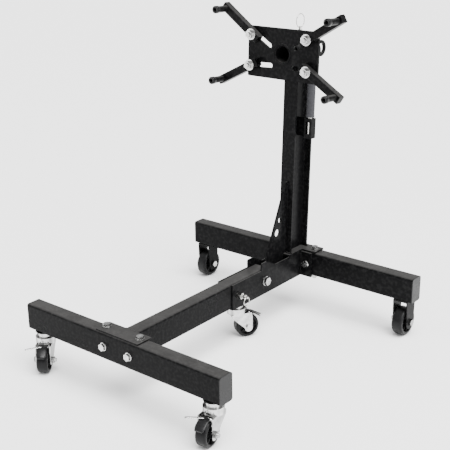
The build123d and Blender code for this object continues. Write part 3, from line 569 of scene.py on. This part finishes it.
def pedal_pieces(name):
    """Moulded pedal with grip ribs, and its plated lever, in the place of a brake node."""
    node = f"{name}_brake"
    joint = JOINTS[f"{name}_brake_press"]
    pivot = Vector(joint["pos_m"])
    axle = Vector(joint["axis"]).normalized()
    trail = UPRIGHT.cross(axle)
    if trail.dot(Vector(JOINTS[f"{name}_wheel_spin"]["pos_m"]) - pivot) > 0:
        trail.negate()
    spots = [((v.co - pivot).dot(trail), (v.co - pivot).dot(axle), v.co.z - pivot.z)
             for v in frame["nodes"][node].data.vertices]
    half_width = PEDAL_HALF_WIDTH
    thickness = PEDAL_THICKNESS
    margin = 0.001              # past the pedal's own edge, but short of the lever's tip
    reach = max(out for out, across, rise in spots if abs(across) < half_width + margin)
    drop = min(rise for out, across, rise in spots)
    heel = 0.003                # how far the pedal stands behind and above its pin
    sag = 1.8                   # how late the pedal bends down
    ribs, rib_height = 7, 0.0004
    ribs_from, ribs_to = 0.35, 0.95
    taper_from, narrowing = 0.75, 0.28

    bm = bmesh.new()
    rings = []
    steps = 18
    for index in range(steps + 1):
        share = index / steps
        out = -heel + (reach + heel) * share
        top = heel + (drop + thickness - heel) * share**sag
        top += rib_height * (cos(tau * share * ribs) if ribs_from < share < ribs_to else 0)
        taper = narrowing * max(0.0, share - taper_from) ** 1.2 / (1 - taper_from)
        width = half_width * (1 - taper)
        depth = thickness * (0.9 if share > 0.1 else 0.7)
        rings.append([
            pivot + trail * out + axle * (width * a) + UPRIGHT * (top - depth * b)
            for a, b in ((-1, 0.25), (-0.8, 0.0), (0, -0.05), (0.8, 0.0), (1, 0.25),
                         (1, 0.8), (0.8, 1.0), (-0.8, 1.0), (-1, 0.8))])
    ring_sweep(bm, rings, closed=False)
    add_piece(f"{name}_pedal", to_mesh(f"{name}_pedal", bm), node, moulded(), (node,))

    tip_spots = [spot for spot in spots if abs(spot[1]) > 2 * half_width]
    lever_side = 1 if sum(spot[1] for spot in tip_spots) > 0 else -1
    far = max(abs(spot[1]) for spot in tip_spots)
    tip_out = max(spot[0] for spot in tip_spots)
    height = sum(spot[2] for spot in tip_spots) / len(tip_spots)
    inset, tip_inset = 0.002, 0.005
    start = pivot + trail * (2 * heel) + axle * (lever_side * inset) + UPRIGHT * height
    end = pivot + trail * (tip_out - tip_inset) + axle * (lever_side * (far - inset))
    end += UPRIGHT * height
    along = (end - start).normalized()
    across = along.cross(UPRIGHT)
    lever_half_width, lever_half_thickness = 0.0042, 0.0009
    steps = 16
    bm = bmesh.new()
    rings = []
    for index in range(steps + 1):
        share = index / steps
        width = lever_half_width * (1 - 0.25 * share) * (1 if index < steps else 0.55)
        rings.append([
            start.lerp(end, share) + across * (width * a) + UPRIGHT * (lever_half_thickness * b)
            for a, b in ((-1, 0), (-0.85, 1), (0.85, 1), (1, 0), (0.85, -1), (-0.85, -1))])
    ring_sweep(bm, rings, closed=False)
    add_piece(f"{name}_lever", to_mesh(f"{name}_lever", bm), node, pressed_zinc())

    bm = bmesh.new()
    pin_radius = 0.0029
    pin_core = 0.0005           # keeps the lathed skin off its own axis
    pin_reach = 0.0031          # just past the radius of the frame's own pin
    half_pin = max(abs(spot[1]) for spot in spots if max(abs(spot[0]), abs(spot[2])) < pin_reach)
    lathe(bm, pivot, axle, [(pin_core, -half_pin), (pin_radius, -half_pin), (pin_radius, half_pin),
                            (pin_core, half_pin)], steps=24)
    add_piece(f"{name}_pedal_pin", to_mesh(f"{name}_pedal_pin", bm), node, zinc())


class STAND_OT_pedals(bpy.types.Operator):
    """Make the brake pedals and their plated levers"""

    bl_idname = "stand.pedals"
    bl_label = "Brake pedals"

    def execute(self, context):
        for name in CASTERS:
            pedal_pieces(name)
        return {"FINISHED"}


class STAND_OT_grip(bpy.types.Operator):
    """Make the ringed rubber grip of the turning bar"""

    bl_idname = "stand.grip"
    bl_label = "Grip"

    def execute(self, context):
        vertices = [vertex.co for vertex in frame["nodes"]["bar_grip"].data.vertices]
        middle = sum(vertices, Vector()) / len(vertices)
        along = [(point - middle).dot(UP_MAST) for point in vertices]
        out = [((point - middle) - UP_MAST * (point - middle).dot(UP_MAST)).length
               for point in vertices]
        foot, top = min(along), max(along)
        past_axis = 0.005               # leaves out points near the axis
        outer, bore = max(out), min(value for value in out if value > past_axis)
        length = top - foot
        dip_depth = 0.0009
        collar, waist = 0.04, 0.96      # shares of the length and of the radius
        rings = sizes().grip_rings
        steps = rings * 8
        outline = [(bore, foot)]
        for index in range(steps + 1):
            share = index / steps
            dip = dip_depth * (0.5 - 0.5 * cos(tau * rings * share))
            flare = 1.0 if share < collar else waist
            outline.append((outer * flare - dip, foot + length * (1 - collar) * share))
        core = 0.0006                   # keeps the lathed skin off its own axis
        outline += [(outer * 0.86, top - 0.001), (outer * 0.6, top), (core, top),
                    (core, top - 0.003), (bore, top - 0.004)]
        bm = bmesh.new()
        lathe(bm, middle, UP_MAST, outline, steps=64)
        add_piece("ringed_grip", to_mesh("ringed_grip", bm), "turning_bar", grip_rubber(),
                  ("bar_grip",))
        return {"FINISHED"}


class STAND_OT_finger_ends(bpy.types.Operator):
    """Fit the black end sleeves of the arms' fingers"""

    bl_idname = "stand.finger_ends"
    bl_label = "Finger ends"

    def execute(self, context):
        outer, wall_inner, mouth = 0.0116, 0.0101, 0.0062
        face, floor, floor_edge = 0.0002, -0.0021, -0.0022
        chamfer, foot_chamfer = 0.0012, 0.0015
        length = 0.0145
        for quarter in QUARTERS:
            points = [v.co for v in frame["nodes"][f"finger_{quarter}"].data.vertices]
            front = max(point.dot(AHEAD) for point in points)
            tip = [point for point in points if front - point.dot(AHEAD) < 0.0001]
            centre = sum(tip, Vector()) / len(tip)
            bm = bmesh.new()
            lathe(bm, centre, AHEAD, [
                (mouth, face), (outer - chamfer, face), (outer, -chamfer),
                (outer, foot_chamfer - length), (outer - chamfer, -length), (wall_inner, -length),
                (wall_inner, floor_edge), (mouth, floor)], steps=40)
            name = f"finger_end_{quarter}"
            add_piece(name, to_mesh(name, bm), f"arm_{quarter}", moulded())
        return {"FINISHED"}


class STAND_OT_welds(bpy.types.Operator):
    """Lay the weld beads of the frame and of the head"""

    bl_idname = "stand.welds"
    bl_label = "Welds"

    def execute(self, context):
        full = sizes().bead_radius
        thin = full * 0.8
        bead = full * 0.6
        mast_front, half_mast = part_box("mast")[0].y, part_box("mast")[1].x
        rear_y = mast_front + MAST_DEPTH
        gusset_top, gusset_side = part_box("gusset")[1].z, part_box("gusset")[1].x
        foot_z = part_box("mast_base_plate")[1].z
        foot_front = Vector((0, mast_front, foot_z))

        # Gusset, from above its holes to its top
        top_run = (gusset_top - foot_z) / UP_MAST.z
        weld_from, end_gap = 0.62, 0.004
        for side, word in SIDES:
            shift = ACROSS * (side * (gusset_side + bead)) + AHEAD * bead
            weld_bead(f"gusset_weld_{word}",
                      [foot_front + shift + UP_MAST * (top_run * weld_from),
                       foot_front + shift + UP_MAST * (top_run - end_gap)],
                      "rear_frame", radius=thin)

        # Mast's foot, round its flanges
        def foot_weld(place, start, end):
            """Bead on the base plate from one (x, y) to another."""
            weld_bead(f"mast_foot_weld_{place}",
                      [Vector((*start, foot_z + bead)), Vector((*end, foot_z + bead))], "rear_frame")

        past_gusset = gusset_side + end_gap
        side_run = 0.006            # how far a bead runs back along a flange's edge
        foot_weld("front", (-half_mast, mast_front - bead), (-past_gusset, mast_front - bead))
        foot_weld("front_right", (past_gusset, mast_front - bead), (half_mast, mast_front - bead))
        foot_weld("rear", (-half_mast, rear_y + bead), (half_mast, rear_y + bead))
        for side, word in SIDES:
            side_x = side * (half_mast + bead)
            foot_weld(f"{word}_front", (side_x, mast_front), (side_x, mast_front + side_run))
            foot_weld(f"{word}_rear", (side_x, rear_y - side_run), (side_x, rear_y))

        # Leg, to the tee plate and to the flange behind the front beam
        leg_low, leg_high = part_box("leg_tube")
        corner = 0.006              # a bead stops short of the leg's rounded corners
        left_x, right_x = leg_low.x + corner, leg_high.x - corner
        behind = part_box("tee_plate")[1].y + bead
        weld_bead("tee_plate_weld", [
            Vector((left_x, behind, leg_high.z + bead)),
            Vector((right_x, behind, leg_high.z + bead))], "front_frame")
        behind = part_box("leg_flange")[1].y + bead
        for side, word in SIDES:
            side_x = side * (leg_high.x + bead)
            weld_bead(f"leg_flange_weld_{word}", [
                Vector((side_x, behind, leg_low.z + corner)),
                Vector((side_x, behind, leg_high.z - corner))], "front_frame")
        weld_bead("leg_flange_weld_foot", [
            Vector((left_x, behind, leg_low.z - bead)),
            Vector((right_x, behind, leg_low.z - bead))], "front_frame")

        # Channel, to its flange on the rear beam
        channel_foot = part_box("leg_channel")[0].z
        foot_gap, top_gap = 0.003, 0.012
        flange_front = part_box("rear_beam")[0].y - CHANNEL_FLANGE
        for side, word in SIDES:
            side_x = side * (CHANNEL_HALF_WIDTH + bead)
            weld_bead(f"channel_weld_{word}", [
                Vector((side_x, flange_front - bead, channel_foot + foot_gap)),
                Vector((side_x, flange_front - bead, foot_z - top_gap))], "rear_frame")

        # Head tube, to both faces of the mounting plate
        plate = [(v.co - HEAD_POINT).dot(AHEAD) for v in frame["nodes"]["head_plate"].data.vertices]
        for place, level, out in (("front", max(plate), 0.2 * bead), ("back", min(plate) - bead, bead)):
            weld_bead(f"head_plate_weld_{place}",
                      ring_points(HEAD_POINT + AHEAD * level, ACROSS, UP_MAST, HEAD_TUBE_RADIUS + out),
                      "head", closed=True, radius=thin)

        # Sleeve, along its seat on the mast
        seat_from, seat_to, seat_steps = 222, 318, 32
        sleeve = [v.co - HEAD_POINT for v in frame["nodes"]["head_sleeve"].data.vertices]
        sleeve_radius = max((point - AHEAD * point.dot(AHEAD)).length for point in sleeve)
        for place, level in (("front", bead), ("rear", -MAST_DEPTH - bead)):
            weld_bead(f"sleeve_weld_{place}",
                      arc_points(HEAD_POINT + AHEAD * level, ACROSS, UP_MAST,
                                 sleeve_radius + bead, seat_from, seat_to, seat_steps), "rear_frame")

        # Caster mounts, under the beams
        for name in CASTERS:
            low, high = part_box(f"{name}_mount")
            middle = (low + high) / 2
            centre = Vector((middle.x, middle.y, high.z - bead))
            weld_bead(f"{name}_mount_weld",
                      ring_points(centre, ACROSS, Vector((0, 1, 0)), (high.x - low.x) / 2 + bead),
                      "rear_frame" if name == "middle_caster" else "front_frame",
                      closed=True, radius=bead)
        return {"FINISHED"}


# ---- stage --------------------------------------------------------------------------------------------


LIT_POINT = Vector((0, 0, 0.4))
SUN_DIRECTION = Vector((-0.35, 0.1, -1))
CAMERA_PLACE = (1.700158, -2.067827, 1.357094)
CAMERA_AZIMUTH, CAMERA_ELEVATION, CAMERA_ROLL = 0.686715, 0.346661, -0.0120331      # radians
CAMERA_LENS, CAMERA_SENSOR = 76.446056, 36.0        # millimetres


def area_light(name, place, size, power):
    """Rectangular light that faces the middle of the stand."""
    light = bpy.data.lights.new(name, "AREA")
    light.shape = "RECTANGLE"
    light.size, light.size_y = size
    light.energy = power
    thing = bpy.data.objects.new(name, light)
    bpy.context.scene.collection.objects.link(thing)
    thing.location = place
    thing.rotation_mode = "QUATERNION"
    thing.rotation_quaternion = (LIT_POINT - Vector(place)).to_track_quat("-Z", "Y")


class STAND_OT_stage(bpy.types.Operator):
    """Lay the floor and set the lights and the camera"""

    bl_idname = "stand.stage"
    bl_label = "Stage"

    def execute(self, context):
        scene = context.scene
        bm = bmesh.new()
        bmesh.ops.create_grid(bm, x_segments=1, y_segments=1, size=30)
        floor = bpy.data.objects.new("floor", to_mesh("floor", bm))
        scene.collection.objects.link(floor)
        floor.location.z = -0.0005
        pale = bpy.data.materials.new("pale_floor")
        pale.use_nodes = True
        shader = pale.node_tree.nodes["Principled BSDF"]
        shader.inputs["Base Color"].default_value = (*colours().floor, 1)
        shader.inputs["Roughness"].default_value = 0.75
        shader.inputs["Specular IOR Level"].default_value = 0.2
        clad(floor, pale)

        world = bpy.data.worlds.new("studio")
        world.use_nodes = True
        background = world.node_tree.nodes["Background"]
        background.inputs["Color"].default_value = (1, 1, 1, 1)
        background.inputs["Strength"].default_value = 0.9
        scene.world = world
        sunlight = bpy.data.lights.new("soft_sun", "SUN")
        sunlight.energy = 9.0
        sunlight.angle = radians(50)
        sun = bpy.data.objects.new("soft_sun", sunlight)
        scene.collection.objects.link(sun)
        sun.rotation_mode = "QUATERNION"
        sun.rotation_quaternion = SUN_DIRECTION.to_track_quat("-Z", "Y")
        area_light("right_light", (3.2, -0.4, 1.6), size=(1.2, 2.4), power=60)
        area_light("left_light", (-2.6, -2.4, 1.4), size=(0.5, 2.2), power=14)

        azimuth, elevation, roll = CAMERA_AZIMUTH, CAMERA_ELEVATION, CAMERA_ROLL
        camera = bpy.data.cameras.new("camera")
        camera.sensor_width = CAMERA_SENSOR
        camera.lens = CAMERA_LENS
        camera.clip_end = 100
        view = Vector((-sin(azimuth) * cos(elevation), cos(azimuth) * cos(elevation), -sin(elevation)))
        right = Vector((cos(azimuth), sin(azimuth), 0))
        up = right.cross(view)
        turned_right = cos(roll) * right + sin(roll) * up
        turned_up = -sin(roll) * right + cos(roll) * up
        eye = bpy.data.objects.new("camera", camera)
        scene.collection.objects.link(eye)
        rotation = Matrix((turned_right, turned_up, -view)).transposed()
        eye.matrix_world = Matrix.Translation(CAMERA_PLACE) @ rotation.to_4x4()
        scene.camera = eye
        return {"FINISHED"}


class STAND_PT_panel(bpy.types.Panel):
    """Sizes, colours and steps of the stand"""

    bl_idname = "STAND_PT_panel"
    bl_label = "Engine stand"
    bl_space_type = "VIEW_3D"
    bl_region_type = "UI"
    bl_category = "Stand"

    def draw(self, context):
        for settings in (context.scene.stand_sizes, context.scene.stand_colours):
            for name in settings.bl_rna.properties.keys():
                if name not in ("rna_type", "name"):
                    self.layout.prop(settings, name)
        for step in STEPS:
            self.layout.operator(step.bl_idname)


STEPS = (STAND_OT_frame_finish, STAND_OT_wheels, STAND_OT_pedals, STAND_OT_grip,
         STAND_OT_finger_ends, STAND_OT_welds, STAND_OT_stage)
CLASSES = (STAND_PG_sizes, STAND_PG_colours, *STEPS, STAND_PT_panel)


def register():
    for item in CLASSES:
        bpy.utils.register_class(item)
    bpy.types.Scene.stand_sizes = PointerProperty(type=STAND_PG_sizes)
    bpy.types.Scene.stand_colours = PointerProperty(type=STAND_PG_colours)


def unregister():
    del bpy.types.Scene.stand_colours
    del bpy.types.Scene.stand_sizes
    for item in reversed(CLASSES):
        bpy.utils.unregister_class(item)


def main():
    register()
    bpy.ops.stand.frame_finish()
    bpy.ops.stand.wheels()
    bpy.ops.stand.pedals()
    bpy.ops.stand.grip()
    bpy.ops.stand.finger_ends()
    bpy.ops.stand.welds()
    bpy.ops.stand.stage()


if __name__ == "__main__":
    main()
